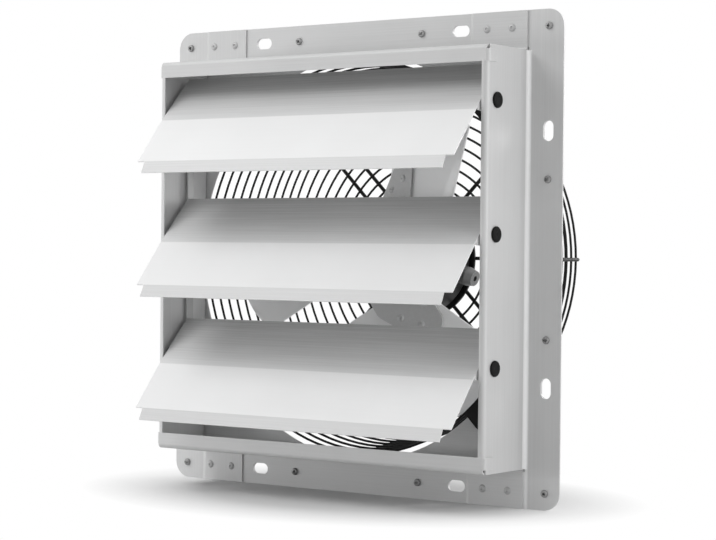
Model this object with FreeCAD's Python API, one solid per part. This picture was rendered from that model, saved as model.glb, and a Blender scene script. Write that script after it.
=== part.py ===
import FreeCAD, Part
import math
import os

V = FreeCAD.Vector
ORIGIN = V(0, 0, 0)
ACROSS = V(1, 0, 0)
BACK = V(0, 1, 0)
UP = V(0, 0, 1)

# Shuttered wall exhaust fan, in millimetres.
# X runs across, Y runs back through the wall, Z is up.
# The wall face is y = 0 and the louvers face -Y.

# Frame
sheet = 1.2
bend = 2.4
box_side = 325.0
box_depth = 60.4
flange_width = 31.0
flange_corner = 14.0
rail_lip = 13.0
side_lip = 5.0
corner_tab = 12.0
over_ear = 44.0
under_ear = 50.0
ear_gap = 2.5
joggle = 3.0
lap_gap = 0.8

# Fasteners of the frame
fastener_inset = 13.1
slot_spread = 99.4
slot_length = 16.0
slot_width = 9.0
panel_screw_spread = 62.0
screw_r = 2.0
screw_head_over = 1.0
screw_head = 1.8
screw_rim = 0.7
screw_crown = 0.9
rivet_r = 2.0
rivet_head_over = 1.2
rivet_head = 1.2
rivet_crown = 1.3
rivet_tail_over = 0.8
rivet_tail = 0.9
rivet_first = 12.0
rivet_step = 23.0
rivet_clearance = 0.8

# Fan panel
panel_margin = 2.0
orifice_over = 3.5

# Wire guard and motor plate
wire = 2.0
spoke_wire = 3.2
ring_sag = 0.6
weld_sink = 0.5
guard_back_y = 98.0
guard_gap = 1.0
guard_taper = 12.8
guard_back_rings = 10
guard_eye_gap = 11.1
guard_side_rings = 9
guard_pair_offset = 9.0
guard_corner = 3.0
foot_thick = 1.5
foot_length = 16.0
foot_side = 2.4
foot_round = 5.0
foot_screw_inset = 5.5
spoke_lap = 16.0
plate_r = 51.0
plate_thick = 2.0
plate_hole_r = 10.0
motor_screw_circle = 36.0

# Motor
motor_r = 49.0
motor_length = 47.6
motor_wall = 2.5
motor_end = 3.0
motor_edge = 6.0
motor_edge_mid = 1.8
bearing_r = 13.0
bearing_width = 7.8
bearing_seat = 3.0
winding_gap = 1.2
stator_bore = 30.0
air_gap = 0.5
shaft_r = 5.0
running_gap = 0.05
shaft_hole_gap = 2.0
gland_angle = -16.0
gland_r = 8.0
gland_tip_r = 6.4
gland_collar = 6.5
gland_reach = 13.0
gland_stub_r = 4.0
gland_bore_r = 2.5
gland_seat = 0.25

# Fan wheel
blade_count = 3
blade_first_angle = 66.0
blade_tip_gap = 14.0
blade_thick = 1.5
blade_pitch = 23.0
blade_camber = 6.0
blade_lip_at = 48.3
blade_lip_bend = 28.0
blade_lip_turn = 50.0
blade_lead_angle = 20.0
blade_lap = 49.5
blade_root_trail = 48.0
blade_shoulder_in = 72.0
blade_shoulder_trail = 57.5
blade_tip_trail = 45.5
blade_root_round = 6.0
blade_shoulder_round = 25.0
blade_tip_round = 16.0
arm_thick = 2.5
arm_root_half = 22.0
arm_tip_s = 84.0
arm_tip_half = 20.0
arm_tip_trail = 1.6
arm_taper = 39.0
arm_round = 12.0
arm_trail_round = 4.0
hub_r = 15.0
hub_length = 34.0
hub_motor_gap = 4.9
hub_to_blade = 17.6
nut_height = 6.0
nut_flats = 13.0
washer_r = 9.0
washer = 1.6
thread_r = 4.0
thread_end = 1.2
blade_rivet_seat = 0.1
blade_rivet_insets = [(14.0, 17.0, 1), (28.0, 12.0, -1), (28.0, 7.5, 1)]

# Louvers, drawn hanging upright about their pivot and then swung open
louver_count = 3
louver_head_gap = 8.5
louver_lap = 5.2
louver_sill_gap = 3.5
pivot_setback = 14.0
louver_sheet = 1.0
louver_open = 43.4
louver_face = 9.0
louver_top = 32.0
louver_crease = 19.0
louver_tip_face = 6.0
louver_hem_face = 2.7
hem_width = 10.0
hem_cutback = 7.5
ear_thick = 1.2
ear_back = 5.9
ear_foot = 6.7
ear_shoulder = 5.0
ear_round = 5.0
ear_neck = 4.0
ear_toe = 2.0
pivot_pin_r = 2.45
pin_head_over = 1.75
pin_head = 1.2
pin_shoulder = 1.0
pin_end_gap = 0.4
bush_wall = 2.0
bush_head_over = 1.7
bush_head = 2.2
bush_collar_over = 0.7
bush_collar = 0.7
bush_cap = 0.8
crank_back = 4.9
crank_drop = 6.9
crank_pin_r = 2.0
crank_shoulder_over = 1.4
crank_head_over = 0.9
crank_head = 0.8
crank_wall_gap = 1.3
side_play = 0.4
tie_width = 8.0
tie_thick = 1.4
tie_end = 8.0
tie_flat = 0.2

# Worked out from the sizes above
half = box_side / 2
inner = half - sheet
flange = half + flange_width
flange_side = 2 * flange
fastener_line = flange - fastener_inset
y_back = -sheet
y_face = -2 * sheet
y_over = -3 * sheet
y_front = y_face - box_depth
lip_end = half - rail_lip
screw_head_r = screw_r + screw_head_over
rivet_head_r = rivet_r + rivet_head_over
rivet_tail_r = rivet_r + rivet_tail_over
orifice_r = half + orifice_over
foot_start = orifice_r - guard_gap - spoke_wire
foot_end = orifice_r + foot_length
foot_front = y_back - foot_thick
foot_half = guard_pair_offset + foot_side
foot_screw_r = foot_end - foot_screw_inset
guard_base_r = foot_start + weld_sink - wire / 2
guard_base_y = y_back + guard_gap + wire / 2
guard_back_r = guard_base_r - guard_taper
guard_eye_r = plate_r + guard_eye_gap
plate_back = guard_back_y + wire / 2 - weld_sink
plate_front = plate_back - plate_thick
motor_front = plate_front - motor_length
motor_split = plate_front - motor_length / 2
stator_length = motor_length - 2 * (motor_end + bearing_width + winding_gap)
hub_back = motor_front - hub_motor_gap
hub_front = hub_back - hub_length
blade_plane_y = hub_front + hub_to_blade
blade_tip_r = orifice_r - blade_tip_gap
blade_root_s = arm_tip_s - blade_lap
blade_rivets_at = [(arm_tip_s - a, side * (arm_tip_half - b)) for a, b, side in blade_rivet_insets]
pin_head_r = pivot_pin_r + pin_head_over
bush_bore = pivot_pin_r + running_gap
bush_body_r = bush_bore + bush_wall
pivot_y = y_front + pivot_setback
tie_near_gap = pin_shoulder + side_play
louver_end = inner - tie_near_gap - tie_thick - side_play - crank_head - crank_wall_gap
louver_pitch = (2 * inner - louver_head_gap - louver_lap - louver_sill_gap) / louver_count
louver_z = [inner - louver_head_gap - louver_top - louver_pitch * k for k in range(louver_count)]
louver_hem = louver_pitch - louver_top + louver_lap
louver_tip = louver_hem - hem_width
crank_up = louver_top - crank_drop


# Drawing helpers

def in_xy(z=0.0):
    return lambda u, v: V(u, v, z)


def in_yz(x=0.0):
    return lambda u, v: V(x, u, v)


def in_xz(y=0.0):
    return lambda u, v: V(u, y, v)


def outline(points, radii, place):
    """Face inside a closed polygon whose corners are rounded by radii."""
    count = len(points)
    starts, ends, middles = [], [], []
    for k in range(count):
        here = V(*points[k], 0)
        to_last = (V(*points[k - 1], 0) - here).normalize()
        to_next = (V(*points[(k + 1) % count], 0) - here).normalize()
        if radii[k] == 0:
            starts.append(here)
            ends.append(here)
            middles.append(None)
            continue
        half_angle = to_last.getAngle(to_next) / 2
        between = (to_last + to_next).normalize()
        run = radii[k] / math.tan(half_angle)
        starts.append(here + to_last * run)
        ends.append(here + to_next * run)
        middles.append(here + between * (radii[k] / math.sin(half_angle) - radii[k]))
    edges = []
    for k in range(count):
        if middles[k] is not None:
            arc = [place(p.x, p.y) for p in (starts[k], middles[k], ends[k])]
            edges.append(Part.Arc(*arc).toShape())
        a = place(ends[k].x, ends[k].y)
        b = place(starts[(k + 1) % count].x, starts[(k + 1) % count].y)
        if a.distanceToPoint(b) > 1e-6:
            edges.append(Part.LineSegment(a, b).toShape())
    return Part.Face(Part.Wire(edges))


def sheet_section(path, thick, radius, place):
    """Section of a bent sheet that lies to the left of a path, with rounded bends."""
    far, near_r, far_r = [], [], []
    last = len(path) - 1
    for k, (u, v) in enumerate(path):
        sides = []
        for a, b in ((k - 1, k), (k, k + 1)):
            if a < 0 or b > last:
                continue
            du, dv = path[b][0] - path[a][0], path[b][1] - path[a][1]
            run = math.hypot(du, dv)
            sides.append((du / run, dv / run))
        (a, b), (c, d) = sides[0], sides[-1]
        stretch = thick / (1 + a * c + b * d)
        far.append((u - (b + d) * stretch, v + (a + c) * stretch))
        turn = a * d - b * c
        near_r.append(0 if abs(turn) < 1e-9 else radius + (thick if turn > 0 else 0))
        far_r.append(0 if abs(turn) < 1e-9 else radius + (0 if turn > 0 else thick))
    return outline(path + far[::-1], near_r + far_r[::-1], place)


def prism(points, radii, y0, y1):
    """Upright outline in XZ, run from y0 to y1."""
    return outline(points, radii, in_xz(y0)).extrude(BACK * (y1 - y0))


def square(side, corner, y0, y1):
    s = side / 2
    return prism([(-s, -s), (s, -s), (s, s), (-s, s)], [corner] * 4, y0, y1)


def slot(x, z, along_x, y0, y1):
    """Round-ended slot through a flange."""
    r = slot_width / 2
    run = slot_length / 2 - r
    step = V(run, 0, 0) if along_x else V(0, 0, run)
    wide = V(2 * run, 0, slot_width) if along_x else V(slot_width, 0, 2 * run)
    middle = V(x, y0, z)
    ends = [Part.makeCylinder(r, y1 - y0, middle + side, BACK) for side in (step, step * -1)]
    box = Part.makeBox(wide.x, y1 - y0, wide.z, middle - V(wide.x / 2, 0, wide.z / 2))
    return box.multiFuse(ends).removeSplitter()


def rod(x, z, r, y0, y1):
    return Part.makeCylinder(r, y1 - y0, V(x, y0, z), BACK)


def turned(profile, base, axis):
    """Turn a profile of (radius, height) points about an axis that starts at base."""
    wire_of = Part.makePolygon([V(r, 0, h) for r, h in profile + profile[:1]])
    shape = Part.Face(wire_of).revolve(ORIGIN, UP, 360)
    shape.Placement = FreeCAD.Placement(base, FreeCAD.Rotation(UP, axis))
    return shape


def around(shape, angle):
    """Copy turned about the fan axis, counted from +X towards +Z."""
    copy = shape.copy()
    copy.rotate(ORIGIN, BACK, -angle)
    return copy


def polar(r, angle):
    return r * math.cos(math.radians(angle)), r * math.sin(math.radians(angle))


def joined(shapes):
    return shapes[0].multiFuse(shapes[1:]).removeSplitter()


def mirrored(shape):
    return shape.mirror(ORIGIN, ACROSS)


# Places of fasteners

def slot_places():
    for a in (-slot_spread, slot_spread):
        for b in (-fastener_line, fastener_line):
            yield a, b, True
            yield b, a, False


def panel_screw_places():
    far = fastener_line
    for a in (-panel_screw_spread, panel_screw_spread):
        for b in (-far, far):
            yield a, b
            yield b, a
    for a in (-far, far):
        for b in (-far, far):
            yield a, b


def corner_rivet_places():
    for k in range(2):
        run = rivet_first + k * rivet_step
        for z in (-fastener_line, fastener_line):
            yield -(half - over_ear) - run, z
            yield half - under_ear + run, z


def drilled(flange_part):
    """Cut the slots and fastener holes that pass through the flange."""
    cutters = [slot(x, z, along, y_over, 0) for x, z, along in slot_places()]
    cutters += [rod(x, z, screw_r, y_over, 0) for x, z in panel_screw_places()]
    cutters += [rod(x, z, rivet_r, y_over, 0) for x, z in corner_rivet_places()]
    return flange_part.cut(Part.makeCompound(cutters))


# Frame rails

def left_hand_rail(ear_path):
    """Side rail on the left: flange strip with two ears, box wall and front lip."""
    strip = [(-flange, y_face), (-half, y_face)]
    wall = strip + [(-half, y_front + sheet + bend)]
    lipped = strip + [(-half, y_front), (-half + side_lip, y_front)]

    def run(path, z0, z1):
        return sheet_section(path, sheet, bend, in_xy(z0)).extrude(UP * (z1 - z0))

    pieces = [run(lipped, -lip_end, lip_end)]
    for z0, z1 in ((lip_end, half), (-half, -lip_end)):
        pieces.append(run(wall, z0, z1))
    for z0, z1 in ((half, flange), (-flange, -half)):
        pieces.append(run(strip, z0, z1))
    for z0, z1 in ((half + ear_gap, flange), (-flange, -half - ear_gap)):
        pieces.append(run(ear_path, z0, z1))
    rail = joined(pieces).common(square(flange_side, flange_corner, y_front, 0))
    holes = [Part.makeCylinder(bush_body_r, 4 * sheet, V(-half - sheet, pivot_y, z), ACROSS)
             for z in louver_z]
    return rail.cut(Part.makeCompound(holes))


def left_rail():
    ear = [(-flange, y_face), (-half, y_face), (-half + joggle, y_over), (-half + over_ear, y_over)]
    return drilled(left_hand_rail(ear))


def right_rail():
    ear = [(-flange, y_face), (-half + under_ear, y_face)]
    return drilled(mirrored(left_hand_rail(ear)))


def top_rail():
    """Flange under the left ear and over the right one, with wall, lip and corner tabs."""
    def section(y, x):
        path = [(y, flange), (y, half), (y_front, half), (y_front, lip_end)]
        return sheet_section(path, sheet, bend, in_yz(x))

    lap_start = half - under_ear - lap_gap
    flange_start = -half + joggle + lap_gap
    wall_only = sheet_section([(y_back, half), (y_front, half), (y_front, lip_end)],
                              sheet, bend, in_yz(-inner))
    step = Part.makeLoft([section(y_face, lap_start - joggle).OuterWire,
                          section(y_over, lap_start).OuterWire], True, True)
    tabs = [(-half - sheet, y_front + corner_tab), (-half - sheet, y_front),
            (half + sheet, y_front), (half + sheet, y_front + corner_tab)]
    lip = sheet_section(tabs, sheet, bend, in_xy(lip_end))
    pieces = [
        wall_only.extrude(ACROSS * (flange_start + inner)),
        section(y_face, flange_start).extrude(ACROSS * (lap_start - joggle - flange_start)),
        step,
        section(y_over, lap_start).extrude(ACROSS * (inner - lap_start)),
        lip.extrude(UP * (rail_lip - bend - sheet)),
    ]
    return drilled(joined(pieces))


def bottom_rail():
    return top_rail().mirror(ORIGIN, UP)


def corner_rivets():
    grip = 2 * sheet
    profile = [(0, -rivet_head), (rivet_head_r - rivet_crown, -rivet_head), (rivet_head_r, 0), (rivet_r, 0),
               (rivet_r, grip), (rivet_tail_r, grip), (rivet_tail_r, grip + rivet_tail),
               (0, grip + rivet_tail)]
    return [turned(profile, V(x, y_over, z), BACK) for x, z in corner_rivet_places()]


# Fan panel behind the flange

def fan_panel():
    """Square plate with the round fan orifice."""
    panel = square(flange_side - 2 * panel_margin, flange_corner - panel_margin, y_back, 0)
    cutters = [rod(0, 0, orifice_r, y_back, 0)]
    cutters += [slot(x, z, along, y_over, 0) for x, z, along in slot_places()]
    cutters += [rod(x, z, screw_r, y_back, 0) for x, z in list(panel_screw_places()) + foot_screw_places()]
    clear_r = rivet_tail_r + rivet_clearance
    cutters += [rod(x, z, clear_r, y_back, 0) for x, z in corner_rivet_places()]
    return panel.cut(Part.makeCompound(cutters))


def panel_screws():
    profile = [(0, -screw_head), (screw_head_r - screw_crown, -screw_head), (screw_head_r, -screw_rim),
               (screw_head_r, 0), (screw_r, 0), (screw_r, 2 * sheet), (0, 2 * sheet)]
    return [turned(profile, V(x, y_face, z), BACK) for x, z in panel_screw_places()]


# Wire guard

def foot_angles():
    return [45, 135, 225, 315]


def foot_screw_places():
    return [polar(foot_screw_r, angle) for angle in foot_angles()]


def ring(r, y):
    """One wire ring as a fine polygon, so that the guard stays light."""
    count = 4 * round(math.pi / 4 / math.acos(1 - ring_sag / r))
    swell = 1 / math.sqrt(math.cos(math.pi / count))
    loops = []
    for side in (wire / 2, -wire / 2):
        corners = [polar((r + side) * swell, 360 * k / count) for k in range(count + 1)]
        loops.append(Part.makePolygon([V(x, y - wire / 2, z) for x, z in corners]))
    return Part.makeFace(loops, "Part::FaceMakerBullseye").extrude(BACK * wire)


def spoke(angle, offset, y_end):
    """Wire bent from the back of the cage down its side, as far as y_end."""
    reach = wire / 2 - weld_sink
    path = [(plate_r - spoke_lap, plate_back), (guard_back_r + reach, plate_back),
            (guard_base_r + reach, y_end)]
    section = sheet_section(path, spoke_wire, guard_corner, in_xy(offset - spoke_wire / 2))
    return around(section.extrude(UP * spoke_wire), angle)


def guard():
    """Cage of rings on the back and side, and spokes whose pairs end on flat feet before the panel."""
    pieces = [ring(guard_base_r, guard_base_y)]
    pitch = (guard_back_r - guard_eye_r) / (guard_back_rings - 1)
    for k in range(guard_back_rings):
        pieces.append(ring(guard_back_r - k * pitch, guard_back_y))
    for k in range(guard_side_rings):
        share = (k + 1) / (guard_side_rings + 1)
        r = guard_base_r + share * (guard_back_r - guard_base_r)
        pieces.append(ring(r, guard_base_y + share * (guard_back_y - guard_base_y)))
    for angle in foot_angles():
        pieces.append(spoke(angle - 45, 0, guard_base_y - wire / 2))
        for side in (-guard_pair_offset, guard_pair_offset):
            pieces.append(spoke(angle, side, y_back - weld_sink))
        corners = [(foot_start, -foot_half), (foot_end, -foot_half),
                   (foot_end, foot_half), (foot_start, foot_half)]
        tab = prism(corners, [0, foot_round, foot_round, 0], foot_front, y_back)
        pieces.append(around(tab.cut(rod(foot_screw_r, 0, screw_r, foot_front, y_back)), angle))
    return joined(pieces)


def guard_screws():
    length = foot_thick + sheet
    profile = [(0, screw_head), (screw_head_r - screw_crown, screw_head), (screw_head_r, screw_rim),
               (screw_head_r, 0), (screw_r, 0), (screw_r, -length), (0, -length)]
    return [turned(profile, V(x, foot_front, z), -BACK) for x, z in foot_screw_places()]


def motor_screw_places():
    return [polar(motor_screw_circle, angle) for angle in foot_angles()]


def motor_plate():
    holes = [rod(x, z, screw_r, plate_front, plate_back) for x, z in motor_screw_places()]
    holes.append(rod(0, 0, plate_hole_r, plate_front, plate_back))
    return rod(0, 0, plate_r, plate_front, plate_back).cut(Part.makeCompound(holes))


def motor_screws():
    length = plate_thick + motor_end
    profile = [(0, screw_head), (screw_head_r, screw_head), (screw_head_r, 0), (screw_r, 0),
               (screw_r, -length), (0, -length)]
    return [turned(profile, V(x, plate_back, z), BACK) for x, z in motor_screw_places()]


# Motor

def motor_cap(hole_r):
    """Drawn cup with a bearing seat inside; its closed end is at height 0."""
    bore = motor_r - motor_wall
    seat_r = bearing_r + bearing_seat
    depth = motor_length / 2
    seat = motor_end + bearing_width
    inside = bore - (motor_edge - motor_end)
    profile = [(hole_r, 0), (motor_r - motor_edge, 0), (motor_r - motor_edge_mid, motor_edge_mid),
               (motor_r, motor_edge), (motor_r, depth), (bore, depth), (bore, motor_edge),
               (inside, motor_end), (seat_r, motor_end), (seat_r, seat), (bearing_r, seat),
               (bearing_r, motor_end), (hole_r, motor_end)]
    return turned(profile, ORIGIN, UP)


def placed(shape, y, axis):
    shape.Placement = FreeCAD.Placement(V(0, y, 0), FreeCAD.Rotation(UP, axis)).multiply(shape.Placement)
    return shape


def gland_y():
    return motor_split + motor_length / 4


def motor_rear_cap():
    cap = placed(motor_cap(shaft_r + shaft_hole_gap), plate_front, BACK * -1)
    holes = [rod(x, z, screw_r, plate_front - 2 * motor_end, plate_front) for x, z in motor_screw_places()]
    stub = Part.makeCylinder(gland_stub_r, 2 * motor_wall, V(motor_r - 2 * motor_wall, gland_y(), 0), ACROSS)
    return cap.cut(Part.makeCompound(holes + [around(stub, gland_angle)]))


def motor_front_cap():
    return placed(motor_cap(shaft_r + shaft_hole_gap), motor_front, BACK)


def bearing(y):
    profile = [(shaft_r + running_gap, 0), (bearing_r, 0), (bearing_r, bearing_width),
               (shaft_r + running_gap, bearing_width)]
    return turned(profile, V(0, y, 0), BACK)


def front_bearing():
    return bearing(motor_front + motor_end)


def rear_bearing():
    return bearing(plate_front - motor_end - bearing_width)


def stator():
    outer = motor_r - motor_wall
    profile = [(stator_bore, 0), (outer, 0), (outer, stator_length), (stator_bore, stator_length)]
    return turned(profile, V(0, motor_split - stator_length / 2, 0), BACK)


def cable_gland():
    """Inlet on the side of the rear cap, with its stub in the cap's wall."""
    y = gland_y()
    inside = motor_r - motor_wall
    body = turned([(gland_bore_r, inside), (gland_r, inside), (gland_r, motor_r + gland_collar),
                   (gland_tip_r, motor_r + gland_reach), (gland_bore_r, motor_r + gland_reach)],
                  V(0, y, 0), ACROSS)
    body = body.cut(Part.makeCylinder(motor_r, motor_length, V(0, motor_front, 0), BACK))
    stub = turned([(gland_bore_r, inside + gland_seat), (gland_stub_r, inside + gland_seat),
                   (gland_stub_r, motor_r + gland_seat), (gland_bore_r, motor_r + gland_seat)],
                  V(0, y, 0), ACROSS)
    return around(body.fuse(stub).removeSplitter(), gland_angle)


def rotor_core():
    profile = [(shaft_r, 0), (stator_bore - air_gap, 0), (stator_bore - air_gap, stator_length),
               (shaft_r, stator_length)]
    return turned(profile, V(0, motor_split - stator_length / 2, 0), BACK)


def shaft():
    """Plain shaft with a reduced front end for the hub nut."""
    back = plate_front - motor_end
    front = hub_front - washer - nut_height - thread_end
    profile = [(0, 0), (thread_r, 0), (thread_r, hub_front - front), (shaft_r, hub_front - front),
               (shaft_r, back - front), (0, back - front)]
    return turned(profile, V(0, front, 0), BACK)


# Fan wheel, drawn with s along the blade's middle line (+X) and c across it (+Z)

def camber_r():
    reach = blade_tip_r / 2
    return (reach ** 2 + blade_camber ** 2) / (2 * blade_camber)


def on_section(s, along, off):
    """Point of the pitched section: along the chord, and off it towards the motor."""
    pitch = math.radians(blade_pitch)
    return V(s, blade_plane_y + along * math.sin(pitch) + off * math.cos(pitch),
             along * math.cos(pitch) - off * math.sin(pitch))


def curved_band(near, far, s0, s1):
    """Cambered sheet between two depths behind the blade's front face, with its trailing lip."""
    radius = camber_r()
    lead = math.asin(blade_tip_r / 2 / radius)
    lip = -blade_lip_at / radius
    end = lip - math.radians(blade_lip_turn)
    lip_along = (radius - blade_lip_bend) * math.sin(lip)
    lip_off = radius - (radius - blade_lip_bend) * math.cos(lip)
    edges, fronts, tails = [], [], []
    for depth in (near, far):
        r = radius - depth
        face = [on_section(s0, r * math.sin(a), radius - r * math.cos(a))
                for a in (lead, (lead + lip) / 2, lip)]
        r = blade_lip_bend - depth
        bent = [on_section(s0, lip_along + r * math.sin(a), lip_off - r * math.cos(a))
                for a in (lip, (lip + end) / 2, end)]
        edges += [Part.Arc(*face).toShape(), Part.Arc(*bent).toShape()]
        fronts.append(face[0])
        tails.append(bent[2])
    edges += [Part.LineSegment(*fronts).toShape(), Part.LineSegment(*tails).toShape()]
    section = Part.Face(Part.Wire(Part.__sortEdges__(edges)))
    return section.extrude(ACROSS * (s1 - s0))


def wheel_prism(points, radii):
    y0 = blade_plane_y - blade_tip_r
    return prism(points, radii, y0, y0 + 2 * blade_tip_r)


def blade():
    lead = math.tan(math.radians(blade_lead_angle))
    corners = [(blade_root_s, -blade_root_trail), (blade_tip_r - blade_shoulder_in, -blade_shoulder_trail),
               (blade_tip_r, -blade_tip_trail), (blade_tip_r, lead * blade_tip_r),
               (blade_root_s, lead * blade_root_s)]
    planform = wheel_prism(corners, [blade_root_round, blade_shoulder_round, 0, 0, blade_root_round])
    tip = Part.makeCylinder(blade_tip_r, 2 * blade_tip_r, V(0, blade_plane_y - blade_tip_r, 0), BACK)
    planform = planform.common(tip)
    planform = planform.makeFillet(blade_tip_round, [e for e in planform.Edges if is_tip_corner(e)])
    piece = curved_band(0, blade_thick, 0, blade_tip_r).common(planform)
    return piece.cut(Part.makeCompound([blade_rivet_hole(s, c) for s, c in blade_rivets_at]))


def is_tip_corner(edge):
    ends = [v.Point for v in edge.Vertexes]
    upright = len(ends) == 2 and abs(ends[0].x - ends[1].x) + abs(ends[0].z - ends[1].z) < 1e-6
    return upright and math.hypot(ends[0].x, ends[0].z) > 0.98 * blade_tip_r


def rivet_frame(s, c):
    """Point on the blade's front face, and the way into the sheet there."""
    pitch = math.radians(blade_pitch)
    radius = camber_r()
    bow = c / math.cos(pitch) / radius
    base = on_section(s, radius * math.sin(bow), radius - radius * math.cos(bow))
    return base, V(0, math.cos(pitch + bow), -math.sin(pitch + bow))


def blade_rivet_hole(s, c):
    base, into = rivet_frame(s, c)
    return Part.makeCylinder(rivet_r, 8 * blade_thick, base - into * (4 * blade_thick), into)


def fan_blade(k):
    return around(blade(), blade_first_angle + k * 360 / blade_count)


def hub():
    """Boss on the shaft with one pitched arm in front of each blade."""
    boss = rod(0, 0, hub_r, hub_front, hub_back)
    arm_outline = wheel_prism([(0, -arm_root_half), (arm_tip_s - arm_taper, -arm_root_half),
                               (arm_tip_s, -arm_tip_trail), (arm_tip_s, arm_tip_half), (0, arm_root_half)],
                              [0, arm_round, arm_trail_round, arm_round, 0])
    arm = curved_band(-arm_thick, 0, 0, arm_tip_s).common(arm_outline)
    arm = arm.cut(Part.makeCompound([blade_rivet_hole(s, c) for s, c in blade_rivets_at]))
    arms = [around(arm, blade_first_angle + k * 360 / blade_count) for k in range(blade_count)]
    return joined([boss] + arms).cut(rod(0, 0, shaft_r, hub_front, hub_back))


def blade_rivets():
    thick = blade_thick + arm_thick
    seat = blade_rivet_seat
    profile = [(0, -rivet_head), (rivet_head_r - rivet_crown, -rivet_head), (rivet_head_r, -seat),
               (rivet_r, -seat), (rivet_r, thick), (rivet_tail_r, thick + seat),
               (rivet_tail_r, thick + rivet_tail), (0, thick + rivet_tail)]
    solids = []
    for k in range(blade_count):
        for s, c in blade_rivets_at:
            base, into = rivet_frame(s, c)
            solids.append(around(turned(profile, base - into * arm_thick, into),
                                 blade_first_angle + k * 360 / blade_count))
    return solids


def hub_nut():
    """Washer and hexagon nut on the front of the shaft."""
    r = nut_flats / 2 / math.cos(math.pi / 6)
    corners = [polar(r, 60 * k) for k in range(6)]
    front = hub_front - washer - nut_height
    nut = prism(corners, [0] * 6, front, front + nut_height)
    disc = rod(0, 0, washer_r, hub_front - washer, hub_front)
    return joined([nut, disc]).cut(rod(0, 0, thread_r, front, hub_front))


# Louvers

def swung(shape, k):
    """Open an upright louver about its pivot and put it in its place."""
    copy = shape.copy()
    copy.rotate(ORIGIN, ACROSS, -louver_open)
    copy.translate(V(0, pivot_y, louver_z[k]))
    return copy


def louver_ear(with_crank):
    """Bent end of the louver that carries its pins."""
    face = -louver_face + louver_sheet / 2
    back = crank_back + ear_back
    points = [(face, louver_top - louver_sheet), (face, -louver_crease), (ear_foot, -ear_foot),
              (back, crank_up - ear_shoulder), (back, louver_top - louver_sheet)]
    rounds = [0, ear_toe, ear_round, ear_neck, ear_round]
    ear = outline(points, rounds, in_yz(louver_end - ear_thick)).extrude(ACROSS * ear_thick)
    ear = ear.cut(Part.makeCylinder(pivot_pin_r, louver_end, ORIGIN, ACROSS))
    if with_crank:
        ear = ear.cut(Part.makeCylinder(crank_pin_r, louver_end, V(0, crank_back, crank_up), ACROSS))
    return ear


def louver(k):
    body = [(-louver_face, louver_top), (-louver_face, -louver_crease), (-louver_tip_face, -louver_tip)]
    hemmed = body + [(-louver_hem_face, -louver_hem)]
    pieces = []
    for path, reach in ((body, louver_end), (hemmed, louver_end - hem_cutback)):
        section = sheet_section(path, louver_sheet, louver_sheet, in_yz(-reach))
        pieces.append(section.extrude(ACROSS * (2 * reach)))
    pieces += [louver_ear(False), mirrored(louver_ear(True))]
    return swung(joined(pieces), k)


def louver_pivot_pins(k):
    """Headed pins that stand out of both ears into the bushes."""
    tip = half + bush_head - bush_cap - pin_end_gap
    a, b = louver_end - ear_thick, louver_end
    profile = [(0, a - pin_head), (pin_head_r, a - pin_head), (pin_head_r, a), (pivot_pin_r, a),
               (pivot_pin_r, b), (pin_head_r, b), (pin_head_r, b + pin_shoulder),
               (pivot_pin_r, b + pin_shoulder), (pivot_pin_r, tip), (0, tip)]
    return [swung(turned(profile, ORIGIN, side), k) for side in (ACROSS, ACROSS * -1)]


def louver_crank_pin(k):
    """Shouldered pin on the left ear, headed over outside the tie bar."""
    a, b = louver_end - ear_thick, louver_end
    far = louver_end + tie_near_gap + tie_thick + side_play
    shoulder_r = crank_pin_r + crank_shoulder_over
    head_r = crank_pin_r + crank_head_over
    profile = [(0, a - pin_head), (shoulder_r, a - pin_head), (shoulder_r, a), (crank_pin_r, a),
               (crank_pin_r, b), (shoulder_r, b), (shoulder_r, b + pin_shoulder),
               (crank_pin_r, b + pin_shoulder), (crank_pin_r, far), (head_r, far),
               (head_r, far + crank_head), (0, far + crank_head)]
    return swung(turned(profile, V(0, crank_back, crank_up), ACROSS * -1), k)


def crank_place(k):
    swing = math.radians(louver_open)
    return (pivot_y + crank_back * math.cos(swing) + crank_up * math.sin(swing),
            louver_z[k] + crank_up * math.cos(swing) - crank_back * math.sin(swing))


def tie_bar():
    """Flat bar on the left that joins the three crank pins."""
    y, top = crank_place(0)
    low = crank_place(louver_count - 1)[1]
    w = tie_width / 2
    corners = [(y - w, low - tie_end), (y + w, low - tie_end), (y + w, top + tie_end), (y - w, top + tie_end)]
    far = -louver_end - tie_near_gap - tie_thick
    bar = outline(corners, [w - tie_flat] * 4, in_yz(far)).extrude(ACROSS * tie_thick)
    holes = [Part.makeCylinder(crank_pin_r + running_gap, tie_thick, V(far, *crank_place(k)), ACROSS)
             for k in range(louver_count)]
    return bar.cut(Part.makeCompound(holes))


def pivot_bushes():
    """Blind bushes pressed into the side walls."""
    head = sheet + bush_head
    head_r = bush_body_r + bush_head_over
    collar = bush_body_r + bush_collar_over
    profile = [(bush_bore, -bush_collar), (collar, -bush_collar), (collar, 0), (bush_body_r, 0),
               (bush_body_r, sheet), (head_r, sheet), (head_r, head - bush_cap),
               (head_r - bush_cap, head), (0, head), (0, head - bush_cap), (bush_bore, head - bush_cap)]
    return [turned(profile, V(side.x * inner, pivot_y, z), side)
            for z in louver_z for side in (ACROSS, ACROSS * -1)]


# Build and write every node

def nodes():
    single = [left_rail, right_rail, top_rail, bottom_rail, corner_rivets, fan_panel, panel_screws,
              guard, guard_screws, motor_plate, motor_screws, motor_rear_cap, motor_front_cap,
              front_bearing, rear_bearing, stator, cable_gland, rotor_core, shaft, hub,
              blade_rivets, hub_nut, tie_bar, pivot_bushes]
    for make in single:
        yield make.__name__, make()
    for k in range(blade_count):
        yield f"fan_blade_{k + 1}", fan_blade(k)
    for k in range(louver_count):
        yield f"louver_{k + 1}", louver(k)
        yield f"louver_{k + 1}_pivot_pins", louver_pivot_pins(k)
        yield f"louver_{k + 1}_crank_pin", louver_crank_pin(k)


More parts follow.
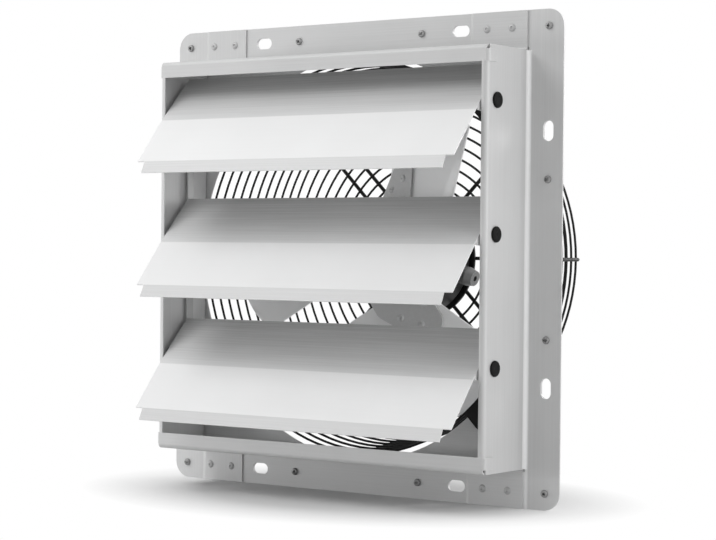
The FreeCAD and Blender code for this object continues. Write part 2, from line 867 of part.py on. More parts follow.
os.makedirs("parts", exist_ok=True)
for name, shape in nodes():
    if isinstance(shape, list):
        shape = Part.makeCompound(shape)
    shape.exportStep(f"parts/{name}.step")
    print(name, "valid" if shape.isValid() else "NOT VALID", len(shape.Solids), round(shape.Volume, 1))
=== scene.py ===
import math

import bmesh
import bpy
from mathutils import Matrix, Vector


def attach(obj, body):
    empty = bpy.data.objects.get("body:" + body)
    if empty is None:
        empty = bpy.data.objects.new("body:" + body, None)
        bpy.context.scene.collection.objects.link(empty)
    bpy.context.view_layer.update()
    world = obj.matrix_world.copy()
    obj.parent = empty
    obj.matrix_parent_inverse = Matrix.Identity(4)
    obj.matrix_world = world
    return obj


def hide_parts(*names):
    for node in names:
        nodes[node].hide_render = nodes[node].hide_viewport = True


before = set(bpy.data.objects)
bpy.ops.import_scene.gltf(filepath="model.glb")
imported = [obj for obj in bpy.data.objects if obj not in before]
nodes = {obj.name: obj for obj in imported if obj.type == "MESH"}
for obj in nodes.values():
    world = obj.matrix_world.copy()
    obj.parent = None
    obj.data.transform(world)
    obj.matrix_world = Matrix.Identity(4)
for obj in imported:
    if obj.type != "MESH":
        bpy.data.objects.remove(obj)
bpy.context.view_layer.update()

mm = 0.001  # sizes below are in millimetres unless a note says otherwise
noiseBand = (0.3, 0.7)  # where most values of a noise lie
lineBand = (0.35, 0.75)  # the part of it that shows as mill lines
bumpDepth = 0.0002  # metres
quarters = (45, 135, 225, 315)  # degrees, the guard's feet and the motor's screws
pivots = {"y": -48.8, "z": (120.8, 19.0, -82.8)}  # of the three louvers


# Shader groups shared by the finishes

def newGroup(name, takes, gives):
    group = bpy.data.node_groups.new(name, "ShaderNodeTree")
    for label, kind, value in takes:
        socket = group.interface.new_socket(label, in_out="INPUT", socket_type=kind)
        socket.default_value = value
    for label, kind in gives:
        group.interface.new_socket(label, in_out="OUTPUT", socket_type=kind)
    return group, group.nodes.new("NodeGroupInput"), group.nodes.new("NodeGroupOutput")


def addNode(tree, kind, **settings):
    node = tree.nodes.new(kind)
    for key, value in settings.items():
        setattr(node, key, value)
    return node


def mixColour(tree, factor, first, second):
    mix = addNode(tree, "ShaderNodeMix", data_type="RGBA")  # sockets 6, 7 and 2 are its colours
    for socket, value in ((mix.inputs[0], factor), (mix.inputs[6], first), (mix.inputs[7], second)):
        if isinstance(value, bpy.types.NodeSocket):
            tree.links.new(value, socket)
        else:
            socket.default_value = value
    return mix.outputs[2]


def remap(tree, value, low, high, toLow, toHigh):
    node = addNode(tree, "ShaderNodeMapRange")
    tree.links.new(value, node.inputs["Value"])
    for key, number in (("From Min", low), ("From Max", high), ("To Min", toLow), ("To Max", toHigh)):
        node.inputs[key].default_value = number
    return node.outputs["Result"]


def noiseOf(tree, vector, scale, detail=3.0, rough=0.55):
    noise = addNode(tree, "ShaderNodeTexNoise")
    noise.inputs["Detail"].default_value = detail
    noise.inputs["Roughness"].default_value = rough
    tree.links.new(vector, noise.inputs["Vector"])
    if isinstance(scale, bpy.types.NodeSocket):
        tree.links.new(scale, noise.inputs["Scale"])
    else:
        noise.inputs["Scale"].default_value = scale
    return noise.outputs["Fac"]


def makeRolledGrain():  # mill lines along one way of the sheet, and soft clouds
    group, given, out = newGroup(
        "rolledGrain",
        [("Grain", "NodeSocketVector", (8.0, 900.0, 900.0)), ("Cloud Scale", "NodeSocketFloat", 12.0)],
        [("Streaks", "NodeSocketFloat"), ("Clouds", "NodeSocketFloat")])
    place = addNode(group, "ShaderNodeTexCoord").outputs["Object"]
    stretch = addNode(group, "ShaderNodeMapping")
    group.links.new(place, stretch.inputs["Vector"])
    group.links.new(given.outputs["Grain"], stretch.inputs["Scale"])
    group.links.new(noiseOf(group, stretch.outputs["Vector"], 1.0, 4.0, 0.65), out.inputs["Streaks"])
    clouds = noiseOf(group, place, given.outputs["Cloud Scale"], 3.0, 0.5)
    group.links.new(clouds, out.inputs["Clouds"])
    return group


def makeEdgeWearAndHighlight():  # bare bright metal where the sheet was cut, and a painted highlight on every corner and bend
    group, given, out = newGroup(
        "edgeWearAndHighlight",
        [("Radius", "NodeSocketFloat", 0.0008), ("Reach", "NodeSocketFloat", 0.25)],
        [("Edge", "NodeSocketFloat")])
    bevel = addNode(group, "ShaderNodeBevel", samples=4)
    group.links.new(given.outputs["Radius"], bevel.inputs["Radius"])
    face = addNode(group, "ShaderNodeNewGeometry").outputs["Normal"]
    dot = addNode(group, "ShaderNodeVectorMath", operation="DOT_PRODUCT")
    group.links.new(bevel.outputs["Normal"], dot.inputs[0])
    group.links.new(face, dot.inputs[1])
    flip = addNode(group, "ShaderNodeMath", operation="SUBTRACT")
    flip.inputs[0].default_value = 1.0
    group.links.new(dot.outputs["Value"], flip.inputs[1])
    share = addNode(group, "ShaderNodeMath", operation="DIVIDE", use_clamp=True)
    group.links.new(flip.outputs["Value"], share.inputs[0])
    group.links.new(given.outputs["Reach"], share.inputs[1])
    group.links.new(share.outputs["Value"], out.inputs["Edge"])
    return group


def makePowderCoat():  # fine orange peel with a few duller patches
    group, given, out = newGroup(
        "powderCoat",
        [("Peel Scale", "NodeSocketFloat", 1400.0), ("Patch Scale", "NodeSocketFloat", 40.0)],
        [("Peel", "NodeSocketFloat"), ("Patches", "NodeSocketFloat")])
    place = addNode(group, "ShaderNodeTexCoord").outputs["Object"]
    group.links.new(noiseOf(group, place, given.outputs["Peel Scale"], 2.0), out.inputs["Peel"])
    group.links.new(noiseOf(group, place, given.outputs["Patch Scale"], 4.0), out.inputs["Patches"])
    return group


def makeFlapMask():  # a louver's flap below the crease, its hem, and the way up from the crease
    group, given, out = newGroup(
        "flapMask",
        [("Down", "NodeSocketVector", (0.0, -0.687, -0.727)), ("Crease", "NodeSocketFloat", 0.0),
         ("Hem", "NodeSocketFloat", 0.0), ("Climb", "NodeSocketFloat", 0.05)],
        [("Flap", "NodeSocketFloat"), ("Hem", "NodeSocketFloat"), ("Rise", "NodeSocketFloat")])
    along = addNode(group, "ShaderNodeVectorMath", operation="DOT_PRODUCT")
    group.links.new(addNode(group, "ShaderNodeTexCoord").outputs["Object"], along.inputs[0])
    group.links.new(given.outputs["Down"], along.inputs[1])
    for line, mask in (("Crease", "Flap"), ("Hem", "Hem")):
        past = addNode(group, "ShaderNodeMath", operation="GREATER_THAN")
        group.links.new(along.outputs["Value"], past.inputs[0])
        group.links.new(given.outputs[line], past.inputs[1])
        group.links.new(past.outputs["Value"], out.inputs[mask])
    above = addNode(group, "ShaderNodeMath", operation="SUBTRACT")
    group.links.new(given.outputs["Crease"], above.inputs[0])
    group.links.new(along.outputs["Value"], above.inputs[1])
    share = addNode(group, "ShaderNodeMath", operation="DIVIDE", use_clamp=True)
    group.links.new(above.outputs["Value"], share.inputs[0])
    group.links.new(given.outputs["Climb"], share.inputs[1])
    group.links.new(share.outputs["Value"], out.inputs["Rise"])
    return group


def makeBendPaintedHighlight():  # an upright fold from box wall to flange, with a painted highlight drawn along it
    group, given, out = newGroup(
        "bendPaintedHighlight",
        [("Fold", "NodeSocketVector", (0.0, 0.0, 0.0)), ("Reach", "NodeSocketFloat", 0.003),
         ("Top", "NodeSocketFloat", 1.0)],
        [("Shine", "NodeSocketFloat")])
    place = addNode(group, "ShaderNodeTexCoord").outputs["Object"]
    flat = addNode(group, "ShaderNodeVectorMath", operation="MULTIPLY")
    flat.inputs[1].default_value = (1.0, 1.0, 0.0)  # height plays no part in the distance
    group.links.new(place, flat.inputs[0])
    away = addNode(group, "ShaderNodeVectorMath", operation="DISTANCE")
    group.links.new(flat.outputs["Vector"], away.inputs[0])
    group.links.new(given.outputs["Fold"], away.inputs[1])
    share = addNode(group, "ShaderNodeMath", operation="DIVIDE")
    group.links.new(away.outputs["Value"], share.inputs[0])
    group.links.new(given.outputs["Reach"], share.inputs[1])
    height = addNode(group, "ShaderNodeSeparateXYZ")
    group.links.new(place, height.inputs["Vector"])
    below = addNode(group, "ShaderNodeMath", operation="LESS_THAN")
    group.links.new(height.outputs["Z"], below.inputs[0])
    group.links.new(given.outputs["Top"], below.inputs[1])
    kept = addNode(group, "ShaderNodeMath", operation="MULTIPLY")
    group.links.new(remap(group, share.outputs["Value"], 0.6, 1.0, 1.0, 0.0), kept.inputs[0])
    group.links.new(below.outputs["Value"], kept.inputs[1])
    group.links.new(kept.outputs["Value"], out.inputs["Shine"])
    return group


rolledGrain = makeRolledGrain()
edgeWearAndHighlight = makeEdgeWearAndHighlight()
powderCoat = makePowderCoat()
flapMask = makeFlapMask()
bendPaintedHighlight = makeBendPaintedHighlight()


def placeGroup(tree, group, **values):
    node = addNode(tree, "ShaderNodeGroup", node_tree=group)
    for key, value in values.items():
        node.inputs[key.replace("_", " ")].default_value = value
    return node


def newMaterial(name, metallic):
    material = bpy.data.materials.new(name)
    material.use_nodes = True
    shader = material.node_tree.nodes["Principled BSDF"]
    shader.inputs["Metallic"].default_value = metallic
    return material, material.node_tree, shader


def bumpFrom(tree, shader, height, strength):
    bump = addNode(tree, "ShaderNodeBump")
    bump.inputs["Strength"].default_value = strength
    bump.inputs["Distance"].default_value = bumpDepth
    tree.links.new(height, bump.inputs["Height"])
    tree.links.new(bump.outputs["Normal"], shader.inputs["Normal"])


def grey(level, tint=(1.0, 1.0, 1.0)):
    return tuple(level * t for t in tint) + (1.0,)


coolTint = (0.996, 0.999, 1.0)


def metalGrey(level):
    return grey(level, coolTint)


def sheetMetal(name, look):
    material, tree, shader = newMaterial(name, look["metallic"])
    grain = placeGroup(tree, rolledGrain, Grain=look["grain"], Cloud_Scale=look["cloudScale"])
    edge = placeGroup(tree, edgeWearAndHighlight, Radius=look["edgeRadius"])
    clouds = remap(tree, grain.outputs["Clouds"], *noiseBand, 0.0, 1.0)
    tone = mixColour(tree, clouds, metalGrey(look["dark"]), metalGrey(look["light"]))
    if "crease" in look:  # painted shade: above the crease the louver is drawn darker, and darker still towards its top edge, where the rail and the louver above shade it
        mask = placeGroup(tree, flapMask, Crease=look["crease"], Hem=look["hem"])
        paintedShade = mixColour(tree, clouds, metalGrey(look["paintedShadeDark"]), metalGrey(look["paintedShadeLight"]))
        paintedShade = mixColour(tree, mask.outputs["Rise"], paintedShade, metalGrey(look["paintedShadeTop"]))
        tone = mixColour(tree, mask.outputs["Flap"], paintedShade, tone)
        tone = mixColour(tree, mask.outputs["Hem"], tone, metalGrey(look["hemTone"]))
    lines = remap(tree, grain.outputs["Streaks"], *lineBand, 0.0, look["lineShare"])
    lined = mixColour(tree, lines, tone, metalGrey(look["line"]))
    # painted highlight: a bright stripe along the upright fold
    if "fold" in look:
        shine = placeGroup(tree, bendPaintedHighlight, Fold=look["fold"], Top=look["foldTop"]).outputs["Shine"]
        lined = mixColour(tree, shine, lined, metalGrey(look["foldHighlightTone"]))
    # edge wear and painted highlight: corners and bends drawn brighter
    edgeShare = remap(tree, edge.outputs["Edge"], 0.0, 1.0, 0.0, look["edgeShare"])
    edged = mixColour(tree, edgeShare, lined, metalGrey(look["edge"]))
    tree.links.new(edged, shader.inputs["Base Color"])
    rough = remap(tree, grain.outputs["Streaks"], *noiseBand, look["roughLow"], look["roughHigh"])
    tree.links.new(rough, shader.inputs["Roughness"])
    bumpFrom(tree, shader, grain.outputs["Streaks"], look["bump"])
    return material


def paint(name, look):
    material, tree, shader = newMaterial(name, look["metallic"])
    shader.inputs["Specular IOR Level"].default_value = look["gloss"]
    coat = placeGroup(tree, powderCoat, Peel_Scale=look["peelScale"])
    edge = placeGroup(tree, edgeWearAndHighlight, Radius=look["edgeRadius"])
    patches = remap(tree, coat.outputs["Patches"], *noiseBand, 0.0, 1.0)
    tone = mixColour(tree, patches, grey(look["dark"]), grey(look["light"]))
    # edge wear and painted highlight: corners drawn lighter
    edgeShare = remap(tree, edge.outputs["Edge"], 0.0, 1.0, 0.0, look["edgeShare"])
    tree.links.new(mixColour(tree, edgeShare, tone, grey(look["edge"])), shader.inputs["Base Color"])
    rough = remap(tree, coat.outputs["Patches"], *noiseBand, look["roughLow"], look["roughHigh"])
    tree.links.new(rough, shader.inputs["Roughness"])
    bumpFrom(tree, shader, coat.outputs["Peel"], look["bump"])
    return material


# Finishes

alongX, alongZ = (8.0, 900.0, 900.0), (900.0, 900.0, 8.0)
frameLook = {"metallic": 0.15, "dark": 0.60, "light": 0.66, "line": 0.72, "lineShare": 0.5, "edge": 0.8,
             "edgeShare": 0.6, "edgeRadius": 0.0008, "roughLow": 0.44, "roughHigh": 0.58, "bump": 0.10,
             "cloudScale": 9.0, "grain": alongX}
# where the painted highlight runs along the right rail's fold, and how bright it is
foldUpright = {"fold": (0.1631, -0.0041, 0.0), "foldTop": 0.162, "foldHighlightTone": 0.95}
# the paintedShade tones are painted shade on each louver above its crease, darkest at the top
louverLook = dict(frameLook, dark=0.85, light=0.89, line=0.92, lineShare=0.3, edge=0.9, metallic=0.2,
                  roughLow=0.52, roughHigh=0.64, paintedShadeDark=0.70, paintedShadeLight=0.74, paintedShadeTop=0.38, hemTone=0.68)
creaseAt = {"below": 19.0, "hemBelow": 65.0, "down": (-0.687, -0.727)}  # from the pivot, down the flap
panelLook = dict(frameLook, dark=0.62, light=0.68, line=0.74)
bladeLook = dict(frameLook, dark=0.88, light=0.92, line=0.95, lineShare=0.2, bump=0.02,
                 roughLow=0.3, roughHigh=0.36)
rivetLook = dict(frameLook, dark=0.46, light=0.54, line=0.58, metallic=0.4, edge=0.56,
                 roughLow=0.5, roughHigh=0.65, grain=(300.0, 300.0, 300.0))
steelLook = dict(frameLook, dark=0.46, light=0.54, line=0.6, metallic=0.7, roughLow=0.34, roughHigh=0.48,
                 grain=(400.0, 60.0, 400.0))
glandLook = dict(steelLook, dark=0.2, light=0.26, line=0.32)
coreLook = dict(steelLook, dark=0.2, light=0.28, line=0.3, grain=(60.0, 2200.0, 60.0))
wireLook = {"metallic": 0.0, "gloss": 0.12, "dark": 0.012, "light": 0.022, "edge": 0.06, "edgeShare": 0.3,
            "edgeRadius": 0.0006, "roughLow": 0.46, "roughHigh": 0.6, "bump": 0.12, "peelScale": 1400.0}
motorLook = dict(wireLook, dark=0.010, light=0.018, roughLow=0.38, roughHigh=0.52)
screwLook = dict(wireLook, gloss=0.5, dark=0.26, light=0.34, edge=0.5, edgeShare=0.6,
                 edgeRadius=0.0004, metallic=0.8)
nylonLook = dict(wireLook, dark=0.006, light=0.010, roughLow=0.45, bump=0.2, peelScale=900.0)

frameAcross = sheetMetal("railAluminiumAcross", frameLook)
frameLeft = sheetMetal("railAluminiumLeft", dict(frameLook, grain=alongZ))
frameRight = sheetMetal("railAluminiumRight", dict(frameLook, grain=alongZ, **foldUpright))
louverMetals = []
for k, pivotZ in enumerate(pivots["z"]):
    pivot = pivots["y"] * creaseAt["down"][0] + pivotZ * creaseAt["down"][1]
    lines = {"crease": (pivot + creaseAt["below"]) * mm, "hem": (pivot + creaseAt["hemBelow"]) * mm}
    louverMetals.append(sheetMetal(f"louverAluminium{k + 1}", dict(louverLook, **lines)))
panelMetal = sheetMetal("panelAluminium", panelLook)
bladeMetal = sheetMetal("bladeAluminium", bladeLook)
rivetMetal = sheetMetal("rivetAluminium", rivetLook)
barMetal = sheetMetal("tieBarAluminium", dict(rivetLook, grain=alongZ))
steelMetal = sheetMetal("plainSteel", steelLook)
glandMetal = sheetMetal("glandNickel", glandLook)
coreMetal = sheetMetal("coreLaminations", coreLook)
wirePaint = paint("guardBlackPaint", wireLook)
motorPaint = paint("motorBlackPaint", motorLook)
screwZinc = paint("screwDullZinc", screwLook)
blackNylon = paint("blackNylon", nylonLook)

keptFinish = {
    "left_rail": frameLeft, "right_rail": frameRight, "top_rail": frameAcross, "bottom_rail": frameAcross,
    "fan_panel": panelMetal, "motor_plate": wirePaint, "cable_gland": glandMetal,
    "motor_rear_cap": motorPaint, "motor_front_cap": motorPaint,
    "front_bearing": steelMetal, "rear_bearing": steelMetal, "stator": coreMetal, "rotor_core": coreMetal,
    "shaft": steelMetal, "hub": steelMetal, "hub_nut": steelMetal, "tie_bar": barMetal,
    "pivot_bushes": blackNylon, "corner_rivets": rivetMetal, "blade_rivets": rivetMetal,
    "panel_screws": screwZinc, "guard_screws": screwZinc, "motor_screws": steelMetal, "guard": wirePaint,
}
for number in (1, 2, 3):
    keptFinish[f"fan_blade_{number}"] = bladeMetal
    keptFinish[f"louver_{number}"] = louverMetals[number - 1]
    keptFinish[f"louver_{number}_pivot_pins"] = steelMetal
    keptFinish[f"louver_{number}_crank_pin"] = steelMetal
for name, node in nodes.items():
    node.data.materials.clear()
    node.data.materials.append(keptFinish[name])
print("finishes placed on", len(keptFinish), "nodes")


# Making pieces

def settle(bm, sharpAngle=35.0):  # outward faces, smooth shading with crisp corners
    bmesh.ops.remove_doubles(bm, verts=bm.verts, dist=1e-7)
    bmesh.ops.recalc_face_normals(bm, faces=bm.faces)
    limit = math.radians(sharpAngle)
    for face in bm.faces:
        face.smooth = True
    for edge in bm.edges:
        edge.smooth = len(edge.link_faces) == 2 and edge.calc_face_angle(0.0) < limit


def addPiece(name, bm, body, material, slotName, *stoodFor):
    settle(bm)
    mesh = bpy.data.meshes.new(name)
    bm.to_mesh(mesh)
    bm.free()
    mesh.materials.append(material)
    piece = bpy.data.objects.new(name, mesh)
    bpy.context.scene.collection.objects.link(piece)
    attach(piece, body)
    if stoodFor:
        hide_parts(*stoodFor)
    print("piece", name, len(mesh.polygons), "faces")


# Wire guard: round rings, bent spokes and flat feet

guardWires = {
    "ringWire": 2.0, "spokeWire": 3.2, "sides": 10, "ringSteps": 96,
    "backRings": 10, "backRadius": 148.5, "eyeRadius": 62.1, "backY": 98.0,
    "sideRings": 9, "baseRadius": 161.3, "baseY": 0.8,
    "spokeStart": 35.0, "spokeY": 100.1, "spokeCorner": 150.41, "spokeFoot": 163.39,
    "spokeEnd": 0.0, "pairEnd": -1.5, "bendRadius": 4.6, "bendSteps": 6, "pairOffset": 9.0,
    "footMiddle": 171.9, "footLong": 10.1, "footHalf": 11.4, "footThick": 1.5, "footRound": 5.0,
    "footEdge": 0.3, "footFront": -2.7,
}


def wireRing(bm, radius, y, look):
    start = Matrix.Translation((radius * mm, y * mm, 0))
    loop = bmesh.ops.create_circle(bm, segments=look["sides"], radius=look["ringWire"] / 2 * mm,
                                   matrix=start)["verts"]
    edges = list({e for v in loop for e in v.link_edges})
    bmesh.ops.spin(bm, geom=loop + edges, cent=(0, 0, 0), axis=(0, 1, 0), angle=2 * math.pi,
                   steps=look["ringSteps"], use_merge=True)


def pushLoop(bm, edges, step, grow=1.0):  # extrudes an open rim, then moves and swells it
    made = bmesh.ops.extrude_edge_only(bm, edges=edges)["geom"]
    verts = [v for v in made if isinstance(v, bmesh.types.BMVert)]
    bmesh.ops.scale(bm, verts=verts, vec=(grow, grow, 1.0))
    bmesh.ops.translate(bm, verts=verts, vec=step)
    return [e for e in made if isinstance(e, bmesh.types.BMEdge)]


def wireSpoke(bm, angle, offset, end, look):
    before = set(bm.verts)
    corner = Vector((look["spokeCorner"], look["spokeY"], offset)) * mm
    foot = Vector((look["spokeFoot"], end, offset)) * mm
    down = (foot - corner).normalized()
    turn = math.acos(down.x)
    bend = look["bendRadius"] * mm
    run = bend * math.tan(turn / 2)
    start = Vector((look["spokeStart"], look["spokeY"], offset)) * mm
    outward = Matrix.Translation(start) @ Matrix.Rotation(math.pi / 2, 4, "Y")
    loop = bmesh.ops.create_circle(bm, segments=look["sides"], radius=look["spokeWire"] / 2 * mm,
                                   matrix=outward)["verts"]
    first = list({e for v in loop for e in v.link_edges})
    edges = pushLoop(bm, first, Vector((corner.x - run - start.x, 0, 0)))
    centre = Vector((corner.x - run, corner.y - bend, corner.z))
    verts = list({v for e in edges for v in e.verts})
    made = bmesh.ops.spin(bm, geom=verts + edges, cent=centre, axis=(0, 0, 1), angle=-turn,
                          steps=look["bendSteps"])["geom_last"]
    edges = [e for e in made if isinstance(e, bmesh.types.BMEdge)]
    edges = pushLoop(bm, edges, foot - (corner + down * run))
    bmesh.ops.edgeloop_fill(bm, edges=first)
    bmesh.ops.edgeloop_fill(bm, edges=edges)
    swing(bm, before, angle)


def swing(bm, before, angle):  # turns what was made since about the fan's axis
    fresh = [v for v in bm.verts if v not in before]
    bmesh.ops.rotate(bm, verts=fresh, cent=(0, 0, 0), matrix=Matrix.Rotation(-math.radians(angle), 3, "Y"))


def guardFoot(bm, angle, look):
    before = set(bm.verts)
    flat = Matrix.Translation((look["footMiddle"] * mm, look["footFront"] * mm, 0))
    flat = flat @ Matrix.Rotation(math.pi / 2, 4, "X")
    made = bmesh.ops.create_grid(bm, x_segments=1, y_segments=1, size=1.0)["verts"]
    bmesh.ops.scale(bm, verts=made, vec=(look["footLong"] * mm, look["footHalf"] * mm, 1.0))
    outer = [v for v in made if v.co.x > 0]
    bmesh.ops.bevel(bm, geom=outer, offset=look["footRound"] * mm, affect="VERTICES", segments=6,
                    profile=0.5, material=-1)
    plate = list({f for v in bm.verts if v not in before for f in v.link_faces})
    bmesh.ops.solidify(bm, geom=plate, thickness=look["footThick"] * mm)
    top = [e for e in bm.edges
           if e.verts[0] not in before and e.verts[0].co.z > -1e-6 and e.verts[1].co.z > -1e-6]
    bmesh.ops.bevel(bm, geom=top, offset=look["footEdge"] * mm, affect="EDGES", segments=2,
                    profile=0.5, material=-1)
    fresh = [v for v in bm.verts if v not in before]
    bmesh.ops.transform(bm, matrix=flat, verts=fresh)
    swing(bm, before, angle)


def buildGuard(look):
    bm = bmesh.new()
    wireRing(bm, look["baseRadius"], look["baseY"], look)
    step = (look["backRadius"] - look["eyeRadius"]) / (look["backRings"] - 1)
    for k in range(look["backRings"]):
        wireRing(bm, look["backRadius"] - k * step, look["backY"], look)
    for k in range(look["sideRings"]):
        share = (k + 1) / (look["sideRings"] + 1)
        wireRing(bm, look["baseRadius"] + share * (look["backRadius"] - look["baseRadius"]),
                 look["baseY"] + share * (look["backY"] - look["baseY"]), look)
    for angle in quarters:
        wireSpoke(bm, angle - 45, 0, look["spokeEnd"], look)
        wireSpoke(bm, angle, -look["pairOffset"], look["pairEnd"], look)
        wireSpoke(bm, angle, look["pairOffset"], look["pairEnd"], look)
        guardFoot(bm, angle, look)
    addPiece("wireGuard", bm, "frame", wirePaint, "guard_paint", "guard")


buildGuard(guardWires)


# Fasteners and bushes

def facing(place, axis):  # local Z points along the axis, place in millimetres
    turn = Vector((0, 0, 1)).rotation_difference(Vector(axis)).to_matrix().to_4x4()
    return Matrix.Translation(Vector(place) * mm) @ turn


def putSince(bm, before, matrix):
    bmesh.ops.transform(bm, matrix=matrix, verts=[v for v in bm.verts if v not in before])


def turnProfile(bm, profile, matrix, steps):  # profile of radius and height in millimetres
    before = set(bm.verts)
    points = [bm.verts.new((radius * mm, 0, height * mm)) for radius, height in profile]
    edges = [bm.edges.new(pair) for pair in zip(points, points[1:])]
    bmesh.ops.spin(bm, geom=points + edges, cent=(0, 0, 0), axis=(0, 0, 1), angle=2 * math.pi,
                   steps=steps, use_merge=True)
    putSince(bm, before, matrix)


screwShape = {"crossHalf": 1.45, "crossDeep": 1.0, "crossDraft": 1.3, "crossTurn": 37, "rimStart": 2.1,
              "steps": 24, "shank": 2.0,
              "crown": [(2.1, 1.8), (2.55, 1.6), (2.85, 1.2), (3.0, 0.7), (3.0, 0.0)]}


def crossScrew(bm, matrix, length, look):
    before = set(bm.verts)
    top = look["crown"][0][1]
    floorHalf = look["crossHalf"] / look["crossDraft"]
    made = bmesh.ops.create_grid(bm, x_segments=3, y_segments=3, size=floorHalf * mm,
                                 matrix=Matrix.Translation((0, 0, (top - look["crossDeep"]) * mm)))["verts"]
    faces = {f for v in made for f in v.link_faces}
    side = floorHalf / 3 * mm
    corners = [f for f in faces if min(abs(c) for c in f.calc_center_median().xy) > side]
    bmesh.ops.delete(bm, geom=corners, context="FACES")
    rim = [e for e in bm.edges if e.verts[0] not in before and e.is_boundary]
    rim = pushLoop(bm, rim, Vector((0, 0, look["crossDeep"] * mm)), look["crossDraft"])
    loop = bmesh.ops.create_circle(bm, segments=look["steps"], radius=look["rimStart"] * mm,
                                   matrix=Matrix.Translation((0, 0, top * mm)))["verts"]
    edges = list({e for v in loop for e in v.link_edges})
    bmesh.ops.bridge_loops(bm, edges=rim + edges)
    path = look["crown"] + [(look["shank"], 0.0), (look["shank"], -length)]
    for (r0, h0), (r1, h1) in zip(path, path[1:]):
        edges = pushLoop(bm, edges, Vector((0, 0, (h1 - h0) * mm)), r1 / r0)
    bmesh.ops.edgeloop_fill(bm, edges=edges)
    putSince(bm, before, matrix)


fasteners = {
    "flangeLine": 180.4, "screwSpread": 62.0, "flangeFront": -2.4, "lapFront": -3.6,
    "rivetX": (-153.5, -130.5, 124.5, 147.5),
    "footRadius": 176.5, "footFront": -2.7, "motorRadius": 36.0, "plateBack": 98.5,
    "bladeRivets": [  # place on the arm, and the way into it
        ((70.0, 28.884, 2.996), (0.0, 0.918, -0.397)),
        ((56.0, 24.276, -8.03), (0.0, 0.927, -0.374)),
        ((56.0, 33.08, 12.424), (0.0, 0.909, -0.416))],
    "blades": 3, "bladeFirst": 66.0, "armThick": 2.5,
    "flangeGrip": 2.4, "footGrip": 2.7, "motorGrip": 5.0, "lapGrip": 2.4, "bladeGrip": 4.0,
}
rivetShape = {"steps": 20, "shank": 2.0, "tail": [(2.7, 0.0), (2.8, 0.2), (2.6, 0.9), (0.0, 0.9)],
              "head": [(0.0, 0.55), (0.75, 0.5), (0.95, 0.95), (1.25, 1.15), (1.9, 1.05), (2.6, 0.7),
                       (3.05, 0.3), (3.2, 0.0)]}


def rivet(bm, matrix, grip, look):
    shank = [(look["shank"], 0.0), (look["shank"], -grip)]
    tail = [(radius, -grip - depth) for radius, depth in look["tail"]]
    turnProfile(bm, look["head"] + shank + tail, matrix, look["steps"])


def driven(k):  # each cross stands as it was driven
    return Matrix.Rotation(math.radians(screwShape["crossTurn"] * k), 4, "Z")


def screwCircle(radius, y, axis, length):
    bm = bmesh.new()
    for k, angle in enumerate(quarters):
        x, z = (radius * f(math.radians(angle)) for f in (math.cos, math.sin))
        crossScrew(bm, facing((x, y, z), axis) @ driven(k), length, screwShape)
    return bm


def buildFasteners(look):
    line, spread = look["flangeLine"], look["screwSpread"]
    front, back = (0, -1, 0), (0, 1, 0)
    bm = bmesh.new()
    spots = [(x, z) for x in (-line, line) for z in (-line, -spread, spread, line)]
    spots += [(x, z) for x in (-spread, spread) for z in (-line, line)]
    for k, (x, z) in enumerate(spots):
        at = facing((x, look["flangeFront"], z), front) @ driven(k)
        crossScrew(bm, at, look["flangeGrip"], screwShape)
    addPiece("panelScrews", bm, "frame", screwZinc, "plain_steel", "panel_screws")
    bm = screwCircle(look["footRadius"], look["footFront"], front, look["footGrip"])
    addPiece("guardScrews", bm, "frame", screwZinc, "plain_steel", "guard_screws")
    bm = screwCircle(look["motorRadius"], look["plateBack"], back, look["motorGrip"])
    addPiece("motorScrews", bm, "frame", steelMetal, "plain_steel", "motor_screws")
    bm = bmesh.new()
    for x in look["rivetX"]:
        for z in (-line, line):
            rivet(bm, facing((x, look["lapFront"], z), front), look["lapGrip"], rivetShape)
    addPiece("cornerRivets", bm, "frame", rivetMetal, "rivet_aluminium", "corner_rivets")
    bm = bmesh.new()
    for k in range(look["blades"]):
        before = set(bm.verts)
        for place, into in look["bladeRivets"]:
            seat = Vector(place) - Vector(into) * look["armThick"]
            rivet(bm, facing(seat, -Vector(into)), look["bladeGrip"], rivetShape)
        swing(bm, before, look["bladeFirst"] + 360 / look["blades"] * k)
    addPiece("bladeRivets", bm, "fan_wheel", rivetMetal, "rivet_aluminium", "blade_rivets")


bushShape = {"wallInside": 161.3, "steps": 32,
             "profile": [(0.0, 2.6), (2.5, 2.6), (2.5, -0.7), (5.0, -0.7), (5.2, -0.5), (5.2, 0.0),
                         (4.5, 0.0), (4.5, 1.2), (5.9, 1.2), (6.2, 1.5), (6.2, 2.1), (6.0, 2.7),
                         (5.5, 3.15), (4.7, 3.4), (3.2, 3.4), (2.8, 3.25), (0.0, 3.2)]}


def buildBushes(look):
    bm = bmesh.new()
    for z in pivots["z"]:
        for side in (-1, 1):
            at = facing((side * look["wallInside"], pivots["y"], z), (side, 0, 0))
            turnProfile(bm, look["profile"], at, look["steps"])
    addPiece("pivotBushes", bm, "frame", blackNylon, "black_nylon", "pivot_bushes")


buildFasteners(fasteners)
buildBushes(bushShape)


# Floor, light and camera

stageLook = {"floorZ": -193.7, "floorHalf": 6.0, "floorTone": 0.85, "floorRough": 0.9, "worldFill": 0.36,
             "glowNear": 0.14, "glowFar": 0.25, "spread": (1.0, 1.3, 0.0)}  # half, near and far in metres


